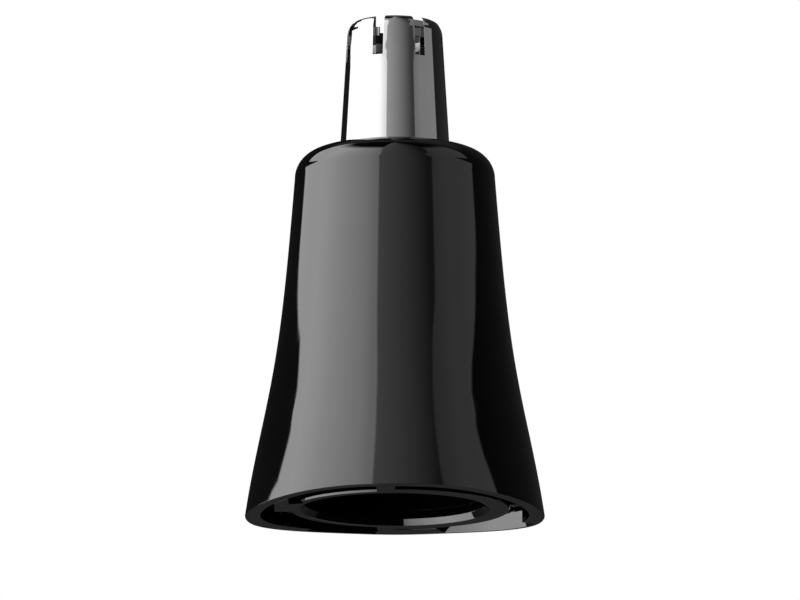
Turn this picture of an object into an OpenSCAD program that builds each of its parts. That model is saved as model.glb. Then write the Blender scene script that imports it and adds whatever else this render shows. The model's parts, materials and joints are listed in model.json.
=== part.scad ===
// Bell-shaped snoot: a black flared bell on a slotted chrome collet neck.
// A removable light tunnel with a ring-shaped mouth hangs inside the bell.
// The neck's top rim is at z = 0 on the axis, and the bell hangs below it.

/* [Neck] */
// Height of the neck above the bell
neck_len = 46.6; // [40:0.1:60]
// Outside diameter of the neck at its top rim
neck_top_d = 33.8; // [32:0.1:35]
// Outside diameter of the neck where it meets the bell
neck_base_d = 38.8; // [37:0.1:40]
// Bore that grips the nozzle of the lamp head
neck_bore_d = 28; // [27:0.1:28.6]
// How far inwards the top rim rounds off
neck_rim_round = 2.8; // [1:0.1:2.8]
// How far down the wall that rounding reaches
neck_rim_drop = 5; // [1:0.1:7]
// Number of slots that split the neck into spring fingers
slot_count = 7; // [5:1:8]
// Width of one slot
slot_w = 3.9; // [2:0.1:4.5]
// Depth of one slot below the top rim
slot_depth = 14.5; // [10:0.5:15]
// Turn of the first slot about the axis, from the front
slot_turn = -20.4; // [-25:0.1:25]

/* [Bell] */
// Height of the bell from its mouth ring to its flat top
bell_len = 127.9; // [120:0.1:140]
// Radius of the bell's body just below the shoulder
shoulder_r = 35.24; // [34:0.01:38]
// Radius that rounds the shoulder
shoulder_round = 9.5; // [6:0.5:10]
// Taper of the bell's body, radius gained per millimetre
body_taper = 0.075; // [0.05:0.005:0.1]
// Extra radius that the flare adds at the mouth
flare = 9.74; // [6:0.01:12]
// Height above the mouth where the flare is steepest
flare_h = 27.4; // [20:0.1:40]
// Half height over which the flare spreads
flare_spread = 36.6; // [25:0.1:45]
// Thickness of the bell's wall
bell_wall = 2; // [1.5:0.1:2.4]
// Radius of the curve that the mouth's edge follows down to its sides
saddle_r = 303; // [250:1:1000]
// Half width of the flat part of the mouth's edge, front and back
saddle_flat = 10.3; // [1:0.1:20]
// How far the bell's sides hang below its mouth ring
lip_drop = 3; // [1:0.1:3.4]
// Radius that rounds the bell's lip
lip_round = 0.6; // [0.3:0.1:0.9]
// Inward slope of the bevel inside the lip, millimetres per millimetre
lip_bevel = 0.3; // [0.1:0.05:0.3]
// Inside radius of the rim ring
rim_in_r = 47.1; // [46:0.1:48]
// Inside radius of the rim pad at the back
pad_in_r = 41.6; // [41.3:0.1:47]
// Height of the rim ring, and of the bevel it sits in, above the mouth ring's face
rim_up = 4; // [3:0.5:5]

/* [Mouth] */
// Inner radius of the mouth ring's flat face
ring_in_r = 33.3; // [33:0.1:34]
// Outer radius of the mouth ring's right half
ring_out_r = 40.4; // [39.6:0.1:41]
// Outer radius of the mouth ring's left half
ring_left_r = 36.8; // [36.8:0.1:39]
// Height of the bevel round the mouth ring's outer edge
ring_bevel = 0.7; // [0.5:0.1:2]
// Thickness of the mouth ring
ring_t = 5; // [4.5:0.5:6]
// Radius of the hole above its chamfer
ring_hole_r = 31.7; // [31.5:0.1:32]
// Height of the chamfer
ring_chamfer = 2.1; // [1:0.1:3]
// Width of a bridge between the mouth ring and the rim
bridge_w = 6.4; // [4:0.1:8]

/* [Inside] */
// Diameter of the clear light path through the neck
light_d = 23; // [20:0.5:23.4]
// Diameter of the neck's threaded tail
tail_d = 30; // [28:0.5:30]
// Turn that frees the bayonet
bayonet_turn = 30; // [20:1:35]
// Coils in the thrust spring
spring_turns = 4; // [3:1:4]

/* [Hidden] */
$fn = 96;
eps = 0.01;
fit = 0.05;       // radial room between pieces that are fixed together
clear = 0.3;      // room between pieces that move past each other

// Heights. Everything below the neck is measured up from the mouth ring's face.
mouth_z = -(neck_len + bell_len);
function up(h) = mouth_z + h;

// The neck
neck_r0 = neck_top_d / 2;
neck_r1 = neck_base_d / 2;
bore_r = neck_bore_d / 2;
light_r = light_d / 2;
tail_r = tail_d / 2;
trim_t = 0.8;
trim_r = neck_r1 + 0.6;
shoulder_z = -(neck_len - trim_t);
// Below the gripping length the bore steps in to the thrust chamber
chamber_top_z = -16;
chamber_r = bore_r - 0.2;
seat_z = -38;
tail_h = 108;
grip_z = -5.6;
grip_t = 0.8;
grip_h = 3.2;
grip_r = bore_r + fit;
clip_z = -16.8;
clip_t = 1.2;
clip_groove_r = chamber_r + 0.95;

// The bell's top and what clamps it
washer_t = 1;
nut_t = 6;
nut_r = 21;
bell_under_z = -(neck_len + bell_wall);
nut_top_z = bell_under_z - washer_t;
pin_r = 1;
pin_ring_r = 16.9;
set_screw_r = 1.5;

// The thrust ring and its spring
thrust_top_z = clip_z - clip_t - clear;
thrust_t = 6;
seat_t = 1;
spring_wire = 1.6;
spring_r = 12.7;
spring_top_z = thrust_top_z - thrust_t;
spring_bottom_z = seat_z + seat_t;

// The bayonet
socket_top_h = 118;
socket_bottom_h = 92;
socket_r = 20;
collar_r = 16;
collar_top_h = 105;
collar_bottom_h = 94;
collar_spigot_r = 13.2;
collar_spigot_h = 86;
seal_t = tail_h - collar_top_h - clear;
bayonet_pin_r = 1.5;
bayonet_pin_end = 19;
bayonet_pin_h = 99.5;
bayonet_count = 3;

// The light tunnel
cone_wall = 1;
cone_foot_h = ring_t + 0.5;
cone_foot_r = 32.2;
cone_top_h = 84;
flange_r = 36.4;
flange_screw_r = 0.9;
flange_screw_ring_r = 35;

// Bell outline: a plain taper with a smooth flare near the mouth
function tanh(x) = 1 - 2 / (exp(2 * x) + 1);
function bell_r(h) = shoulder_r + body_taper * (bell_len - 8.7 - h)
    + flare / 2 * (1 - tanh((h - flare_h) / flare_spread));
shoulder_h = bell_len - shoulder_round;
bell_steps = 30;
arc_steps = 8;
lip_h = -lip_drop + lip_round;

// Radius of the bevelled inside of the lip
function lip_in_r(h) = bell_r(rim_up) - bell_wall + lip_bevel * (rim_up - h);

// Points up the bell's wall, moved inwards by t
function wall_points(t, from_h) =
    [for (i = [0 : bell_steps])
        let (h = from_h + (shoulder_h - from_h) * i / bell_steps)
        [bell_r(h) - t, up(h)]];
// Points round the shoulder, moved inwards by t
function shoulder_points(t) =
    let (cx = bell_r(shoulder_h) - shoulder_round)
    [for (i = [1 : arc_steps])
        let (a = 90 * i / arc_steps)
        [cx + (shoulder_round - t) * cos(a), up(shoulder_h) + (shoulder_round - t) * sin(a)]];
// Points round the lip, from its face to the wall
function lip_points() =
    [for (i = [0 : arc_steps])
        let (a = 90 * i / arc_steps)
        [bell_r(lip_h) - lip_round + lip_round * sin(a), up(lip_h) - lip_round * cos(a)]];
function flip(points) = [for (i = [len(points) - 1 : -1 : 0]) points[i]];

// A tube between two heights
module tube(r_out, r_in, z0, z1) {
    difference() {
        translate([0, 0, z0]) cylinder(r = r_out, h = z1 - z0);
        translate([0, 0, z0 - 1]) cylinder(r = r_in, h = z1 - z0 + 2);
    }
}

// Copies spread evenly round the axis, the first at the front
module around(count, turn = 0) {
    for (i = [0 : count - 1]) {
        rotate([0, 0, turn + 360 * i / count]) children();
    }
}

// A round bar that points outwards, from r0 to r1, at height z
module spoke(r, r0, r1, z) {
    translate([0, -r0, z]) rotate([90, 0, 0]) cylinder(r = r, h = r1 - r0, $fn = 32);
}

// Cuts the mouth's edge: flat at the front and back, curving down to the sides
module saddle() {
    for (side = [-1, 1]) {
        translate([side * saddle_flat, 0, mouth_z - saddle_r]) rotate([90, 0, 0])
            cylinder(r = saddle_r, h = 140, center = true, $fn = 720);
    }
    translate([-saddle_flat, -70, mouth_z - 20.02]) cube([2 * saddle_flat, 140, 20]);
}

// Neck and what it carries

module neck_body() {
    rotate_extrude() polygon(concat(
        [[light_r, up(tail_h)], [tail_r, up(tail_h)], [tail_r, shoulder_z]],
        [[neck_r1, shoulder_z]],
        [for (i = [0 : arc_steps])
            let (a = 90 * i / arc_steps)
            [neck_r0 - neck_rim_round + neck_rim_round * cos(a),
                -neck_rim_drop + neck_rim_drop * sin(a)]],
        [[bore_r, 0], [bore_r, chamber_top_z], [chamber_r, chamber_top_z]],
        [[chamber_r, seat_z], [light_r, seat_z]]
    ));
}

module neck_collet() {
    color("silver") difference() {
        neck_body();
        around(slot_count, slot_turn)
            translate([-slot_w / 2, -neck_r1 - 1, -slot_depth])
                cube([slot_w, neck_r1 + 1 - light_r, slot_depth + 1]);
        tube(clip_groove_r, light_r, clip_z - clip_t - 0.1, clip_z + 0.1);
        tube(grip_r + grip_t + fit, light_r, grip_z - grip_h / 2 - fit, grip_z + grip_h / 2 + fit);
        rotate([0, 0, 180]) translate([0, -pin_ring_r, shoulder_z - eps])
            cylinder(r = pin_r + fit, h = 3, $fn = 32);
    }
}

module neck_trim_ring() {
    color("gainsboro") difference() {
        tube(trim_r, tail_r + fit, -neck_len, shoulder_z);
        rotate([0, 0, 180]) translate([0, -pin_ring_r, -neck_len - 1])
            cylinder(r = pin_r + fit, h = trim_t + 2, $fn = 32);
    }
}

// Open band of flat spring strip, its ends in the first two slots
module grip_ring() {
    color("dimgray") rotate([0, 0, 270 + slot_turn - 1.5])
        rotate_extrude(angle = -310) translate([grip_r, grip_z - grip_h / 2])
            square([grip_t, grip_h]);
}

module index_key() {
    color("gainsboro") rotate([0, 0, slot_turn + 360 / slot_count])
        translate([-slot_w / 2 + fit, -neck_r0 + 1, -3.8])
            cube([slot_w - 2 * fit, neck_r0 - 1 - bore_r, 2.2]);
}

module retaining_ring() {
    color("gray") difference() {
        tube(clip_groove_r - fit, chamber_r - 1.4, clip_z - clip_t, clip_z);
        translate([-3, -bore_r - 2, clip_z - clip_t - 1]) cube([6, 5, clip_t + 2]);
        for (side = [-1, 1]) {
            rotate([0, 0, side * 20]) translate([0, -chamber_r + 0.2, clip_z - clip_t - 1])
                cylinder(r = 0.6, h = clip_t + 2, $fn = 24);
        }
    }
}

module thrust_ring() {
    color("goldenrod") rotate_extrude() polygon([
        [light_r + 0.1, spring_top_z],
        [chamber_r - 0.06, spring_top_z],
        [chamber_r - 0.06, thrust_top_z - 0.5],
        [chamber_r - 0.56, thrust_top_z],
        [light_r + 0.6, thrust_top_z],
        [light_r + 0.1, thrust_top_z - 0.5]
    ]);
}

// Coil spring: a round wire swept up a helix whose end turns lie flat
spring_sides = 10;
spring_rings = 28 * spring_turns;
function spring_z(i) =
    let (s = i / spring_rings, h = spring_top_z - spring_bottom_z - spring_wire)
    spring_bottom_z + spring_wire / 2 + h * s;
module thrust_spring() {
    points = [for (i = [0 : spring_rings], k = [0 : spring_sides - 1])
        let (turn = 360 * spring_turns * i / spring_rings,
            a = 360 * k / spring_sides,
            r = spring_r + spring_wire / 2 * cos(a))
        [r * cos(turn), r * sin(turn), spring_z(i) + spring_wire / 2 * sin(a)]];
    sides = [for (i = [0 : spring_rings - 1], k = [0 : spring_sides - 1])
        let (next = (k + 1) % spring_sides, row = i * spring_sides)
        [row + k, row + next, row + spring_sides + next, row + spring_sides + k]];
    first = [for (k = [spring_sides - 1 : -1 : 0]) k];
    last = [for (k = [0 : spring_sides - 1]) spring_rings * spring_sides + k];
    color("lightgray") polyhedron(points, concat(sides, [first, last]), convexity = 6);
}

module spring_seat() {
    color("darkgray") tube(chamber_r - fit, light_r + 0.1, seat_z, seat_z + seat_t);
}

// Bell and what clamps it to the neck

module outer_bell() {
    inner = concat([[lip_in_r(-lip_drop), up(-lip_drop)]],
        wall_points(bell_wall, rim_up), shoulder_points(bell_wall));
    color("black") difference() {
        rotate_extrude() polygon(concat(
            lip_points(), wall_points(0, lip_h + 1), shoulder_points(0),
            [[tail_r + fit, -neck_len], [tail_r + fit, bell_under_z]],
            flip(inner)
        ));
        saddle();
        rotate([0, 0, 180]) translate([0, -pin_ring_r, bell_under_z - 1])
            cylinder(r = pin_r + fit, h = bell_wall + 2, $fn = 32);
    }
}

// A full rim with the given inside radius, before it is parted at the vents
module rim_body(in_r) {
    difference() {
        rotate_extrude() polygon([
            [in_r, up(-lip_drop)],
            [lip_in_r(-lip_drop) - fit, up(-lip_drop)],
            [lip_in_r(rim_up) - fit, up(rim_up)],
            [in_r, up(rim_up)]
        ]);
        saddle();
    }
}

// A sector behind the axis, its angles counted from the back towards the right
module back_sector(a0, a1) {
    rotate_extrude(angle = a1 - a0, start = 90 - a1)
        translate([pad_in_r - 2, up(-lip_drop - 1)]) square([14, rim_up + lip_drop + 2]);
}

module rim_ring() {
    color("black") difference() {
        rim_body(rim_in_r);
        back_sector(-39, 72);
    }
}

module rim_pad() {
    color("black") intersection() {
        rim_body(pad_in_r);
        back_sector(-8, 20.5);
    }
}

module fibre_washer() {
    color("saddlebrown") tube(nut_r, tail_r + fit, nut_top_z, bell_under_z);
}

module ring_nut() {
    color("slategray") difference() {
        tube(nut_r, tail_r + fit, nut_top_z - nut_t, nut_top_z);
        around(4, 45) translate([-2, -nut_r - 1, nut_top_z - nut_t - 1]) cube([4, 3.5, nut_t + 2]);
        spoke(set_screw_r + fit, tail_r - 1, nut_r + 1, nut_top_z - nut_t / 2);
    }
}

// A headless screw with a six-sided socket in its outer end
module set_screw(r0, r1, z) {
    difference() {
        spoke(set_screw_r, r0, r1, z);
        translate([0, -r1 + 1.6, z]) rotate([90, 0, 0]) cylinder(r = 0.85, h = 3, $fn = 6);
    }
}

module nut_set_screw() {
    color("dimgray") set_screw(tail_r + fit, nut_r - 0.4, nut_top_z - nut_t / 2);
}

module anti_turn_pin() {
    color("lightgray") rotate([0, 0, 180]) translate([0, -pin_ring_r, bell_under_z])
        cylinder(r = pin_r, h = bell_wall + trim_t + 2.5, $fn = 32);
}

// A slot leg of the bayonet: one pin-wide cut from the front round to angle a
module bayonet_arc(a) {
    w = bayonet_pin_r + clear;
    z = up(bayonet_pin_h);
    rotate_extrude(angle = a, start = 270)
        translate([collar_r - 1, z - w]) square([socket_r - collar_r + 3, 2 * w]);
    for (end = [0, a]) {
        rotate([0, 0, end]) spoke(w, collar_r - 1, socket_r + 2, z);
    }
}

module bayonet_socket() {
    w = bayonet_pin_r + clear;
    color("dimgray") difference() {
        tube(socket_r, tail_r + fit, up(socket_bottom_h), up(socket_top_h));
        translate([0, 0, up(socket_bottom_h) - 1])
            cylinder(r = collar_r + clear, h = tail_h - socket_bottom_h + 1);
        around(bayonet_count) {
            bayonet_arc(bayonet_turn);
            rotate([0, 0, bayonet_turn])
                translate([-w, -socket_r - 1, up(socket_bottom_h) - 1])
                    cube([2 * w, socket_r - collar_r + 3, bayonet_pin_h - socket_bottom_h + 1]);
        }
        around(3, 60) spoke(set_screw_r + fit, tail_r - 1, socket_r + 1, up(socket_top_h - 5));
    }
}

module socket_set_screws() {
    color("gray") around(3, 60) set_screw(tail_r + fit, socket_r - 0.3, up(socket_top_h - 5));
}

// Removable light tunnel

module bridge_blocks() {
    depth = ring_t + lip_drop + 1;
    z = up(-lip_drop - 1);
    // Front bridge, and behind it a short tab that meets the rim pad
    translate([-bridge_w + 0.1, -rim_in_r - 1, z]) cube([bridge_w, rim_in_r, depth]);
    intersection() {
        translate([-bridge_w + 0.1, 1, z]) cube([bridge_w, rim_in_r, depth]);
        cylinder(r = pad_in_r - clear, h = 400, center = true);
    }
    // Left bridge
    translate([0, 0, z]) linear_extrude(depth)
        polygon([[-42, -rim_in_r], [-37, -rim_in_r], [-37, -17], [-32, -17], [-32, -1], [-42, -5]]);
    // Right bridge, set back above the ring's face
    rotate([0, 0, 86]) translate([-1.5, -rim_in_r - 1, up(1)]) cube([3, 12, ring_t]);
}

// A mouth ring with one outer radius all round
module plain_ring(out_r) {
    rotate_extrude() polygon([
        [ring_in_r, up(0)],
        [out_r - ring_bevel / 2, up(0)],
        [out_r, up(ring_bevel)],
        [out_r, up(ring_t)],
        [ring_hole_r, up(ring_t)],
        [ring_hole_r, up(ring_chamfer)]
    ]);
}

module mouth_ring() {
    color("black") difference() {
        union() {
            plain_ring(ring_left_r);
            intersection() {
                plain_ring(ring_out_r);
                translate([-bridge_w / 2, -50, up(-1)]) cube([60, 100, ring_t + 2]);
            }
            difference() {
                intersection() {
                    bridge_blocks();
                    tube(rim_in_r - clear, ring_left_r - 0.7, up(-lip_drop - 1), up(ring_t));
                }
                saddle();
            }
        }
        around(4, 45) translate([0, -flange_screw_ring_r, up(ring_t - 3.2)])
            cylinder(r = flange_screw_r + fit, h = 4, $fn = 32);
    }
}

module cone_gasket() {
    color("darkslategray") difference() {
        tube(flange_r, cone_foot_r, up(ring_t), up(cone_foot_h));
        around(4, 45) translate([0, -flange_screw_ring_r, up(ring_t) - 1])
            cylinder(r = flange_screw_r + fit, h = 3, $fn = 32);
    }
}

module inner_cone() {
    top_r = collar_spigot_r + fit;
    color([0.1, 0.1, 0.1]) difference() {
        rotate_extrude() polygon([
            [cone_foot_r, up(cone_foot_h)],
            [flange_r, up(cone_foot_h)],
            [flange_r, up(cone_foot_h + cone_wall)],
            [cone_foot_r + cone_wall, up(cone_foot_h + cone_wall)],
            [top_r + cone_wall, up(cone_top_h)],
            [top_r + cone_wall, up(collar_bottom_h)],
            [top_r, up(collar_bottom_h)],
            [top_r, up(cone_top_h)],
            [cone_foot_r, up(cone_foot_h + cone_wall)]
        ]);
        around(4, 45) translate([0, -flange_screw_ring_r, up(cone_foot_h) - 1])
            cylinder(r = flange_screw_r + fit, h = 3, $fn = 32);
        around(4, 45) spoke(1 + fit, 10, 18, up(collar_bottom_h - 4));
    }
}

module flange_screws() {
    head_z = up(cone_foot_h + cone_wall);
    color("gray") around(4, 45) translate([0, -flange_screw_ring_r, 0]) difference() {
        union() {
            translate([0, 0, up(ring_t - 3)])
                cylinder(r = flange_screw_r, h = head_z - up(ring_t - 3) + eps, $fn = 32);
            translate([0, 0, head_z]) cylinder(r = 1.4, h = 1.6, $fn = 32);
        }
        translate([0, 0, head_z + 0.7]) cylinder(r = 0.7, h = 2, $fn = 6);
    }
}

module cone_collar() {
    color("dimgray") difference() {
        rotate_extrude() polygon([
            [light_r + 0.5, up(collar_spigot_h)],
            [collar_spigot_r, up(collar_spigot_h)],
            [collar_spigot_r, up(collar_bottom_h)],
            [collar_r, up(collar_bottom_h)],
            [collar_r, up(collar_top_h)],
            [light_r + 0.5, up(collar_top_h)]
        ]);
        around(bayonet_count) spoke(bayonet_pin_r + fit, collar_r - 3, collar_r + 1, up(bayonet_pin_h));
        around(4, 45) spoke(1 + fit, 10, 18, up(collar_bottom_h - 4));
    }
}

module collar_rivets() {
    color("silver") around(4, 45) {
        spoke(1, light_r + 0.7, collar_spigot_r + fit + cone_wall + eps, up(collar_bottom_h - 4));
        spoke(1.8, collar_spigot_r + fit + cone_wall, collar_spigot_r + cone_wall + 0.8,
            up(collar_bottom_h - 4));
    }
}

module bayonet_pins() {
    color("lightgray") around(bayonet_count)
        spoke(bayonet_pin_r, collar_r - 3, bayonet_pin_end, up(bayonet_pin_h));
}

module throat_seal() {
    color("orangered") tube(collar_r - 0.6, light_r + 0.8, up(collar_top_h), up(collar_top_h) + seal_t);
}

neck_collet();
neck_trim_ring();
grip_ring();
index_key();
retaining_ring();
thrust_ring();
thrust_spring();
spring_seat();
outer_bell();
rim_ring();
rim_pad();
fibre_washer();
ring_nut();
nut_set_screw();
anti_turn_pin();
bayonet_socket();
socket_set_screws();
mouth_ring();
cone_gasket();
inner_cone();
flange_screws();
cone_collar();
collar_rivets();
bayonet_pins();
throat_seal();
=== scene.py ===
"""Looks for the bell-shaped snoot: gloss black bell, slotted chrome neck, light tunnel."""

import json
import math

import bmesh
import bpy
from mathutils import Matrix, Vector


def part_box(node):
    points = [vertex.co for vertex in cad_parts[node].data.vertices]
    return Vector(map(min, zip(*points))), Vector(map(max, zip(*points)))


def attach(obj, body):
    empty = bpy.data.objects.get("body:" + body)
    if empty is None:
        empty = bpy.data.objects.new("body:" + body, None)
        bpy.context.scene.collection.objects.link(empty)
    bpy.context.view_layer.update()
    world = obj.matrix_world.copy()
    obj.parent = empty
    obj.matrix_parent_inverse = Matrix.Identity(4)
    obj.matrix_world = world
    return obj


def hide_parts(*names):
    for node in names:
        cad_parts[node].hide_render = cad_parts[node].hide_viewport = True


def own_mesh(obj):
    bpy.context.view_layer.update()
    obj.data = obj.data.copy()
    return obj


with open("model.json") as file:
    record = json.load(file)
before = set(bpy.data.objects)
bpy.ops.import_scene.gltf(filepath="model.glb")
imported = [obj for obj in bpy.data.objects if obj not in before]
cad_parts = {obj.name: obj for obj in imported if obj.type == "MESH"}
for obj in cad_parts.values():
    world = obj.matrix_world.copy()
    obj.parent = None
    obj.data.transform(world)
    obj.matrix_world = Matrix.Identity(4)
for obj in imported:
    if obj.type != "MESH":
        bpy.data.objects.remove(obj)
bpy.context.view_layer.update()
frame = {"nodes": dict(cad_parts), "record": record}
nodes = frame["nodes"]

MM = 0.001

# The cone's foot stands this far above the mouth ring's face
CONE_FOOT_H = 5.5 * MM
# Height of the mouth ring's face, and of the bell above it
FACE_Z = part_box("inner_cone")[0].z - CONE_FOOT_H
BELL_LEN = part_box("outer_bell")[1].z - FACE_Z


def add_object(name, shape):
    """Puts a finished shape in the scene and returns its object."""
    mesh = bpy.data.meshes.new(name)
    shape.to_mesh(mesh)
    shape.free()
    made = bpy.data.objects.new(name, mesh)
    bpy.context.scene.collection.objects.link(made)
    return made


def dress(piece, material):
    piece.data.materials.clear()
    piece.data.materials.append(material)


# ---------------------------------------------------------------- camera

CAMERA_BACK = 2.830      # from the axis to the lens
CAMERA_DROP = 0.4946     # below the mouth ring's face
AIM_SIDE = 1.8 * MM      # the aim passes to the right of the axis
AIM_UP = 74.9 * MM       # above the mouth ring's face
LENS_MM = 369.0
SENSOR_MM = 36
CLIP_END = 50            # well past the floor


def make_camera():
    data = bpy.data.cameras.new("camera")
    data.lens = LENS_MM
    data.sensor_width = SENSOR_MM
    data.clip_end = CLIP_END
    camera = bpy.data.objects.new("camera", data)
    bpy.context.scene.collection.objects.link(camera)
    place = Vector((AIM_SIDE, -CAMERA_BACK, FACE_Z - CAMERA_DROP))
    aim = Vector((AIM_SIDE, 0, FACE_Z + AIM_UP))
    camera.location = place
    camera.rotation_euler = (aim - place).to_track_quat("-Z", "Y").to_euler()
    bpy.context.scene.camera = camera


# ---------------------------------------------------------------- studio

bpy.context.scene.view_settings.view_transform = "Standard"


class Graph:
    """A short way to write a node tree of sums and masks."""

    def __init__(self, tree):
        self.tree = tree

    def node(self, kind, **settings):
        made = self.tree.nodes.new(kind)
        for key, value in settings.items():
            setattr(made, key, value)
        return made

    def put(self, value, socket):
        if isinstance(value, bpy.types.NodeSocket):
            self.tree.links.new(value, socket)
        else:
            socket.default_value = value

    def math(self, operation, a, b=0.0, c=0.0):
        made = self.node("ShaderNodeMath", operation=operation)
        for value, socket in zip((a, b, c), made.inputs):
            self.put(value, socket)
        return made.outputs[0]

    def step(self, value, edge, softness):
        """0 below the edge and 1 above it, over a soft band."""
        made = self.node("ShaderNodeMapRange", interpolation_type="SMOOTHSTEP")
        self.put(value, made.inputs["Value"])
        self.put(edge - softness / 2, made.inputs["From Min"])
        self.put(edge + softness / 2, made.inputs["From Max"])
        return made.outputs["Result"]

    def below(self, value, edge, softness):
        """1 below the edge and 0 above it, over a soft band."""
        return self.math("SUBTRACT", 1.0, self.step(value, edge, softness))

    def scale(self, value, old, new):
        """value carried from the range old to the range new."""
        made = self.node("ShaderNodeMapRange")
        self.put(value, made.inputs["Value"])
        for number, name in zip((*old, *new), ("From Min", "From Max", "To Min", "To Max")):
            self.put(number, made.inputs[name])
        return made.outputs["Result"]


# Softboxes round the object, as angles in degrees. The turn is counted from the front, to the
# right, and the rise from level. Each edge is a list of (rise, turn) that bends the box's side, and
# the glow is a list of (turn, glow), where 1 is a white card.
KEY_LEFT = [
    (16.3, -127), (18.5, -118.7), (19.6, -115), (21, -109.5), (24.8, -104), (25.3, -128), (40, -136),
]
KEY_RIGHT = [(20, -18.5), (26, -18.5), (33, -17.2), (62, -20)]
FRONT_RIGHT = [(15.3, 44), (20.7, 44), (24, 43), (28, 38.5), (33, 36.7), (38, 44), (62, 50)]
FILL_RIGHT = [(18, 101.5), (19.4, 95.6), (23, 88), (26.5, 81), (28.8, 77.5), (29.4, 101), (45, 106)]


def upright(turn):
    """An edge at the same turn from bottom to top."""
    return [(0, turn), (1, turn)]


SOFTBOXES = [
    # Key on the left, a dim card in front, and the fill on the right
    dict(left=KEY_LEFT, right=KEY_RIGHT, rise=(-70, 60), soft=2.5,
         glow=[(-122, 1.75), (-92, 2.4), (-80, 2.36), (-50, 1.84), (-32, 1.5), (-22, 1.15)]),
    dict(left=KEY_RIGHT, right=FRONT_RIGHT, rise=(-5, 96), soft=2.5,
         glow=[(-21, 0.465), (38, 0.055)]),
    dict(left=FRONT_RIGHT, right=FILL_RIGHT, rise=(-5, 60), soft=2.5,
         glow=[(38, 0.19), (60, 0.27)]),
    # Walls of the studio, left and right
    dict(left=upright(-190), right=upright(-100), rise=(-4, 86), soft=12,
         glow=[(-130, 0.010), (-100, 0.010)]),
    dict(left=upright(76), right=upright(190), rise=(-4, 86), soft=6,
         glow=[(80, 0.008), (97, 0.013), (150, 0.028)]),
    # Below the level of the object, at the back
    dict(left=upright(-190), right=upright(-128), rise=(-65, -4), soft=6,
         glow=[(-180, 0.04), (-128, 0.04)]),
    dict(left=upright(128), right=upright(190), rise=(-65, -4), soft=6,
         glow=[(128, 0.04), (180, 0.04)]),
    dict(left=upright(-190), right=upright(-135), rise=(-70, -30), soft=6,
         glow=[(-180, 0.5), (-135, 0.8)]),
    dict(left=upright(135), right=upright(190), rise=(-70, -30), soft=6,
         glow=[(135, 0.8), (180, 0.5)]),
    # Ceiling at the back
    dict(left=upright(-190), right=upright(-128), rise=(48, 95), soft=8,
         glow=[(-180, 0.05), (-128, 0.08)]),
    dict(left=upright(115), right=upright(190), rise=(48, 95), soft=8,
         glow=[(115, 0.04), (180, 0.05)]),
]
# Soft bands at the boxes' bottoms and tops, in degrees
BOTTOM_SOFT = 6
TOP_SOFT = 12
# Glow where there is no softbox
DARK = 0.003


def along(g, value, points):
    """A quantity that goes straight from point to point as value grows."""
    total = points[0][1]
    for (low, start), (high, end) in zip(points, points[1:]):
        total = g.math("ADD", g.scale(value, (low, high), (0, end - start)), total)
    return total


def make_world():
    """The softboxes for light and reflections, and a white backdrop for the camera."""
    world = bpy.data.worlds.new("studio")
    world.use_nodes = True
    bpy.context.scene.world = world
    tree = world.node_tree
    tree.nodes.clear()
    g = Graph(tree)
    way = g.node("ShaderNodeTexCoord").outputs["Generated"]
    parts = g.node("ShaderNodeSeparateXYZ")
    g.put(way, parts.inputs[0])
    front = g.math("MULTIPLY", parts.outputs["Y"], -1.0)
    turn = g.math("DEGREES", g.math("ARCTAN2", parts.outputs["X"], front))
    rise = g.math("DEGREES", g.math("ARCSINE", parts.outputs["Z"]))
    total = DARK
    for box in SOFTBOXES:
        past_left = g.math("SUBTRACT", turn, along(g, rise, box["left"]))
        past_right = g.math("SUBTRACT", turn, along(g, rise, box["right"]))
        bottom, top = box["rise"]
        mask = g.step(past_left, 0, box["soft"])
        mask = g.math("MULTIPLY", mask, g.below(past_right, 0, box["soft"]))
        mask = g.math("MULTIPLY", mask, g.step(rise, bottom, BOTTOM_SOFT))
        mask = g.math("MULTIPLY", mask, g.below(rise, top, TOP_SOFT))
        total = g.math("MULTIPLY_ADD", mask, along(g, turn, box["glow"]), total)
    studio = g.node("ShaderNodeBackground")
    g.put(total, studio.inputs["Color"])
    backdrop = g.node("ShaderNodeBackground")
    seen = g.node("ShaderNodeLightPath").outputs["Is Camera Ray"]
    mix = g.node("ShaderNodeMixShader")
    backdrop.inputs["Color"].default_value = (1, 1, 1, 1)
    g.put(seen, mix.inputs[0])
    g.put(studio.outputs[0], mix.inputs[1])
    g.put(backdrop.outputs[0], mix.inputs[2])
    g.put(mix.outputs[0], g.node("ShaderNodeOutputWorld").inputs["Surface"])


FLOOR_Z = -0.90
FLOOR_R = 1.3
FLOOR_SEGMENTS = 96
FLOOR_GREY = 0.82
FLOOR_ROUGHNESS = 0.9
FLOOR_GLOW = 0.35


def make_floor():
    """A pale disc far below, unseen in reflections."""
    shape = bmesh.new()
    bmesh.ops.create_circle(shape, cap_ends=True, segments=FLOOR_SEGMENTS, radius=FLOOR_R)
    floor = add_object("floor", shape)
    floor.location.z = FLOOR_Z
    material = bpy.data.materials.new("pale_floor")
    material.use_nodes = True
    bsdf = material.node_tree.nodes["Principled BSDF"]
    bsdf.inputs["Base Color"].default_value = (FLOOR_GREY, FLOOR_GREY, FLOOR_GREY, 1)
    bsdf.inputs["Roughness"].default_value = FLOOR_ROUGHNESS
    bsdf.inputs["Emission Color"].default_value = (1, 1, 1, 1)
    bsdf.inputs["Emission Strength"].default_value = FLOOR_GLOW
    dress(floor, material)
    floor.visible_glossy = False
    floor.visible_diffuse = False


# ---------------------------------------------------------------- materials

# The part of the noise's range that a tone or roughness is spread over
NOISE_LOW = 0.3
NOISE_HIGH = 0.7
# Stretch that turns noise into rings round the axis
RINGS = (0.02, 0.02, 1)
# How every edge is broken, in the shading only
EDGE_R = 0.2 * MM
EDGE_SAMPLES = 6
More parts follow.
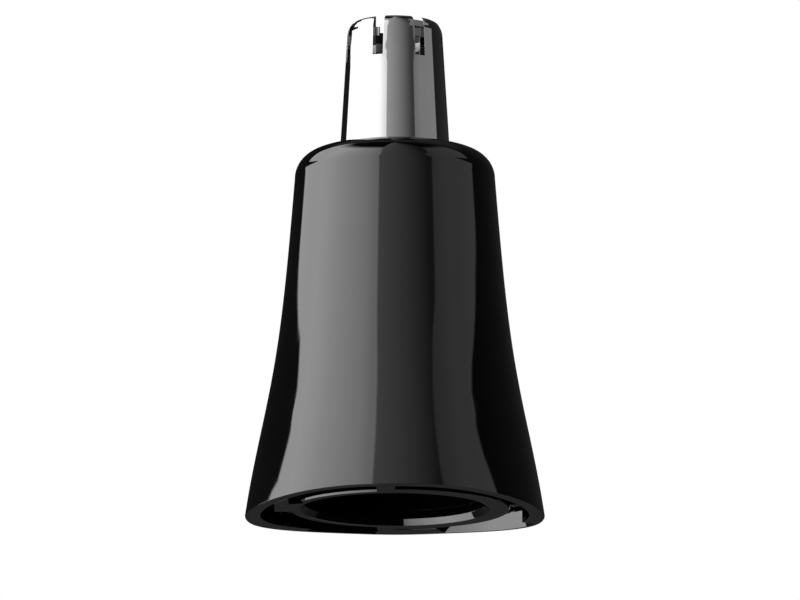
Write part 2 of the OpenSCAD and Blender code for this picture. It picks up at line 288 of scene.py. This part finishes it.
# The neck: tone and roughness of the plating and of the bore, whose dark tone is painted shade. A
# face is in the bore when it looks at the axis by more than this cosine.
PLATE_TONE = (0.60, 0.66)
BORE_SHADE_TONE = (0.02, 0.035)
PLATE_ROUGHNESS = 0.02
BORE_ROUGHNESS = 0.35
BORE_FACING = -0.5
BORE_SOFT = 0.2


def new_material(name, metallic, ior=1.5):
    """An empty material: its graph, its shader and the object's own coordinates."""
    made = bpy.data.materials.new(name)
    made.use_nodes = True
    g = Graph(made.node_tree)
    shader = made.node_tree.nodes["Principled BSDF"]
    shader.inputs["Metallic"].default_value = metallic
    shader.inputs["IOR"].default_value = ior
    place = g.node("ShaderNodeTexCoord").outputs["Object"]
    return made, g, shader, place


def noise(g, place, scale, detail=3.0, stretch=None):
    """Noise from 0 to 1, scaled along each axis by stretch."""
    if stretch:
        mapping = g.node("ShaderNodeMapping")
        g.put(place, mapping.inputs["Vector"])
        mapping.inputs["Scale"].default_value = stretch
        place = mapping.outputs[0]
    made = g.node("ShaderNodeTexNoise")
    g.put(place, made.inputs["Vector"])
    made.inputs["Scale"].default_value = scale
    made.inputs["Detail"].default_value = detail
    return made.outputs["Fac"]


def tint(g, shader, value, low, high):
    """Base colour between two colours, by the noise value."""
    ramp = g.node("ShaderNodeValToRGB")
    ends = ((NOISE_LOW, low), (NOISE_HIGH, high))
    for element, (position, colour) in zip(ramp.color_ramp.elements, ends):
        element.position = position
        element.color = (*colour, 1)
    g.put(value, ramp.inputs[0])
    g.put(ramp.outputs[0], shader.inputs["Base Color"])


def spread(g, value, low, high):
    """The noise value carried to the range from low to high."""
    return g.scale(value, (NOISE_LOW, NOISE_HIGH), (low, high))


def rough(g, shader, value, low, high):
    """Roughness between two values, by the noise value."""
    g.put(spread(g, value, low, high), shader.inputs["Roughness"])


def bump(g, shader, value, depth):
    """A fine grain, over edges that are slightly broken."""
    edges = g.node("ShaderNodeBevel", samples=EDGE_SAMPLES)
    edges.inputs["Radius"].default_value = EDGE_R
    made = g.node("ShaderNodeBump")
    made.inputs["Distance"].default_value = depth
    g.put(edges.outputs[0], made.inputs["Normal"])
    g.put(value, made.inputs["Height"])
    g.put(made.outputs[0], shader.inputs["Normal"])


def off_bore(g, place):
    """0 on faces that look at the axis and 1 on the others."""
    radial = g.node("ShaderNodeVectorMath", operation="MULTIPLY")
    g.put(place, radial.inputs[0])
    radial.inputs[1].default_value = (1, 1, 0)
    unit = g.node("ShaderNodeVectorMath", operation="NORMALIZE")
    g.put(radial.outputs[0], unit.inputs[0])
    facing = g.node("ShaderNodeVectorMath", operation="DOT_PRODUCT")
    g.put(unit.outputs[0], facing.inputs[0])
    g.put(g.node("ShaderNodeNewGeometry").outputs["True Normal"], facing.inputs[1])
    return g.step(facing.outputs["Value"], BORE_FACING, BORE_SOFT)


def plated_neck():
    """Polished chrome outside and in the slots; the bore's dark tone is painted shade, and the bore
    is rougher.
    """
    made, g, shader, place = new_material("chrome", 1.0)
    rings = noise(g, place, scale=3000, detail=4, stretch=RINGS)
    mask = off_bore(g, place)
    plate = spread(g, noise(g, place, scale=60), *PLATE_TONE)
    # Painted shade: faces inside the bore get a dark tone that stands in for the shade inside the
    # tube
    bore_shade = spread(g, noise(g, place, scale=400), *BORE_SHADE_TONE)
    both = g.math("MULTIPLY_ADD", g.math("SUBTRACT", plate, bore_shade), mask, bore_shade)
    g.put(both, shader.inputs["Base Color"])
    roughness = g.scale(mask, (0, 1), (BORE_ROUGHNESS, PLATE_ROUGHNESS))
    g.put(roughness, shader.inputs["Roughness"])
    bump(g, shader, rings, depth=4e-7)
    return made


def coated(name, tone, roughness, grain, depth, ior=1.5):
    """Lacquer, powder coat, rubber or fibre: two close tones and a fine grain."""
    made, g, shader, place = new_material(name, 0.0, ior)
    tint(g, shader, noise(g, place, scale=45), *tone)
    rough(g, shader, noise(g, place, scale=160, detail=5), *roughness)
    bump(g, shader, noise(g, place, scale=grain, detail=2), depth)
    return made


def metal(name, tone, roughness, lines, depth):
    """Turned or polished metal with fine rings round the axis."""
    made, g, shader, place = new_material(name, 1.0)
    tint(g, shader, noise(g, place, scale=60), *tone)
    rings = noise(g, place, scale=lines, detail=4, stretch=RINGS)
    rough(g, shader, rings, *roughness)
    bump(g, shader, rings, depth)
    return made


def grey(value):
    return (value, value, value)


def make_materials():
    """One material for each slot of the record."""
    return {
        "gloss_black": coated(
            "gloss_black", tone=(grey(0.0012), grey(0.0025)), roughness=(0.02, 0.05),
            grain=700, depth=1.2e-6, ior=1.9),
        # The tunnel's lining is matte black, but its tone is set far darker than a real black, as
        # painted shade in the deep hole
        "tunnel_black": coated(
            "tunnel_black", tone=(grey(0.0006), grey(0.0012)), roughness=(0.85, 0.98),
            grain=3000, depth=3e-5, ior=1.08),
        "chrome": plated_neck(),
        "steel": metal(
            "steel", tone=(grey(0.42), grey(0.5)), roughness=(0.2, 0.36),
            lines=5000, depth=4e-6),
        "black_steel": metal(
            "black_steel", tone=(grey(0.035), grey(0.06)), roughness=(0.3, 0.5),
            lines=4000, depth=4e-6),
        "aluminium": metal(
            "aluminium", tone=(grey(0.55), grey(0.63)), roughness=(0.25, 0.4),
            lines=4500, depth=4e-6),
        "brass": metal(
            "brass", tone=((0.55, 0.38, 0.14), (0.66, 0.48, 0.2)), roughness=(0.2, 0.35),
            lines=4500, depth=4e-6),
        "spring_steel": metal(
            "spring_steel", tone=(grey(0.3), grey(0.4)), roughness=(0.22, 0.34),
            lines=6000, depth=3e-6),
        "fibre": coated(
            "fibre", tone=((0.16, 0.05, 0.02), (0.24, 0.08, 0.035)), roughness=(0.6, 0.75),
            grain=2500, depth=2e-5),
        "silicone": coated(
            "silicone", tone=((0.30, 0.035, 0.012), (0.36, 0.05, 0.02)), roughness=(0.4, 0.5),
            grain=1800, depth=1e-5),
        "black_rubber": coated(
            "black_rubber", tone=(grey(0.002), grey(0.004)), roughness=(0.6, 0.75),
            grain=2200, depth=2e-5, ior=1.3),
    }


# ---------------------------------------------------------------- pieces

# The bell's outline, the same as in the CAD source
SHOULDER_R = 35.24 * MM
SHOULDER_ROUND = 9.5 * MM
BODY_TAPER = 0.075
FLARE = 9.74 * MM
FLARE_H = 27.4 * MM
FLARE_SPREAD = 36.6 * MM
TAPER_END = 8.7 * MM
WALL = 2.0 * MM
LIP_DROP = 3.0 * MM
LIP_ROUND = 0.6 * MM
LIP_BEVEL = 0.3           # run of the inside bevel per unit of height
RIM_UP = 4.0 * MM
SADDLE_R = 303 * MM
SADDLE_FLAT = 10.3 * MM
BELL_HOLE_R = 15.05 * MM

# How finely the bell is made, and the sharpest angle that is shaded smooth
BELL_SEGMENTS = 256
WALL_STEPS = 120
LIP_STEPS = 12
SHOULDER_STEPS = 30
INSIDE_STEPS = 50
INSIDE_ARC_STEPS = 10
SHARP_ANGLE = 32
# A point further in than the lip's round, by more than this, is on the inside
LIP_MARGIN = 0.1 * MM


def bell_r(h):
    """Radius of the bell's outside at height h above the mouth ring's face."""
    taper = BODY_TAPER * (BELL_LEN - TAPER_END - h)
    return SHOULDER_R + taper + FLARE / 2 * (1 - math.tanh((h - FLARE_H) / FLARE_SPREAD))


def saddle_drop(x):
    """How far the mouth's edge hangs below the mouth ring's face at x."""
    side = max(abs(x) - SADDLE_FLAT, 0)
    return SADDLE_R - math.sqrt(SADDLE_R ** 2 - side * side)


def arc(cx, cz, r, start, end, steps):
    """Points of an arc, its ends included, with angles in degrees."""
    turn = [math.radians(start + (end - start) * i / steps) for i in range(steps + 1)]
    return [(cx + r * math.cos(a), cz + r * math.sin(a)) for a in turn]


def heights(start, end, steps):
    """Evenly spaced heights after the start, up to the end."""
    return [start + (end - start) * i / steps for i in range(1, steps + 1)]


def lathe(outline, segments, cut):
    """A closed outline of (radius, z) points, turned round the axis and cut at the mouth."""
    shape = bmesh.new()
    rings = []
    for s in range(segments):
        a = 2 * math.pi * s / segments
        ring = []
        for r, z in outline:
            r, z = cut(r, z, r * math.sin(a))
            ring.append(shape.verts.new((r * math.sin(a), -r * math.cos(a), z)))
        rings.append(ring)
    count = len(outline)
    for s in range(segments):
        here, there = rings[s], rings[(s + 1) % segments]
        for i in range(count):
            k = (i + 1) % count
            shape.faces.new((here[i], there[i], there[k], here[k]))
    bmesh.ops.recalc_face_normals(shape, faces=shape.faces)
    for face in shape.faces:
        face.smooth = True
    return shape


def make_bell(material):
    """The bell as one smooth shell, its mouth cut to the saddle."""
    shoulder_h = BELL_LEN - SHOULDER_ROUND
    shoulder_cx = bell_r(shoulder_h) - SHOULDER_ROUND
    lip_h = -LIP_DROP + LIP_ROUND
    lip_cx = bell_r(lip_h) - LIP_ROUND

    def inside_r(h):
        """Radius of the bevel inside the lip."""
        return bell_r(RIM_UP) - WALL + LIP_BEVEL * (RIM_UP - h)

    def cut(r, z, x):
        """Lifts a point below the mouth's edge to that edge, on its own side of the wall."""
        h = -saddle_drop(x)
        if z >= FACE_Z + h:
            return r, z
        on_outside = r > lip_cx - LIP_MARGIN
        edge = bell_r(h) if on_outside else inside_r(h)
        return min(r, edge), FACE_Z + h

    outside = arc(lip_cx, lip_h, LIP_ROUND, -90, 0, LIP_STEPS)
    outside += [(bell_r(h), h) for h in heights(lip_h, shoulder_h, WALL_STEPS)]
    outside += arc(shoulder_cx, shoulder_h, SHOULDER_ROUND, 0, 90, SHOULDER_STEPS)[1:]
    top = [(BELL_HOLE_R, BELL_LEN), (BELL_HOLE_R, BELL_LEN - WALL)]
    inside = arc(shoulder_cx, shoulder_h, SHOULDER_ROUND - WALL, 90, 0, INSIDE_ARC_STEPS)
    inside += [(bell_r(h) - WALL, h) for h in heights(shoulder_h, RIM_UP, INSIDE_STEPS)]
    inside += [(inside_r(h), h) for h in heights(RIM_UP, -LIP_DROP, LIP_STEPS)]
    outline = [(r, FACE_Z + h) for r, h in outside + top + inside]

    bell = add_object("bell_shell", lathe(outline, BELL_SEGMENTS, cut))
    bell.data.set_sharp_from_angle(angle=math.radians(SHARP_ANGLE))
    dress(bell, material)
    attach(bell, "bell")
    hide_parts("outer_bell")


# The thrust spring, the same size as in the CAD source
SPRING_WIRE = 1.6 * MM
SPRING_R = 12.7 * MM
SPRING_TURNS = 4
SPRING_SIDES = 16
SPRING_STEPS = 72         # to a turn


def make_spring(material):
    """The thrust spring as a round wire."""
    low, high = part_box("thrust_spring")
    length = high.z - low.z
    wire_r = SPRING_WIRE / 2
    steps = SPRING_STEPS * SPRING_TURNS
    shape = bmesh.new()
    rows = []
    for i in range(steps + 1):
        turn = 2 * math.pi * SPRING_TURNS * i / steps
        middle = low.z + wire_r + (length - SPRING_WIRE) * i / steps
        row = []
        for k in range(SPRING_SIDES):
            a = 2 * math.pi * k / SPRING_SIDES
            r = SPRING_R + wire_r * math.cos(a)
            z = middle + wire_r * math.sin(a)
            row.append(shape.verts.new((r * math.cos(turn), r * math.sin(turn), z)))
        rows.append(row)
    for here, there in zip(rows, rows[1:]):
        for k in range(SPRING_SIDES):
            n = (k + 1) % SPRING_SIDES
            shape.faces.new((here[k], here[n], there[n], there[k]))
    shape.faces.new(rows[0])
    shape.faces.new(rows[-1])
    bmesh.ops.recalc_face_normals(shape, faces=shape.faces)
    for face in shape.faces:
        face.smooth = len(face.verts) == 4
    spring = add_object("spring_coil", shape)
    dress(spring, material)
    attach(spring, "bell")
    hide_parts("thrust_spring")
    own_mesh(spring)


# ---------------------------------------------------------------- scene

make_camera()
make_world()
make_floor()
materials = make_materials()
for entry in frame["record"]["subparts"]:
    dress(nodes[entry["node"]], materials[entry["material_slot"]])
make_bell(materials["gloss_black"])
make_spring(materials["spring_steel"])
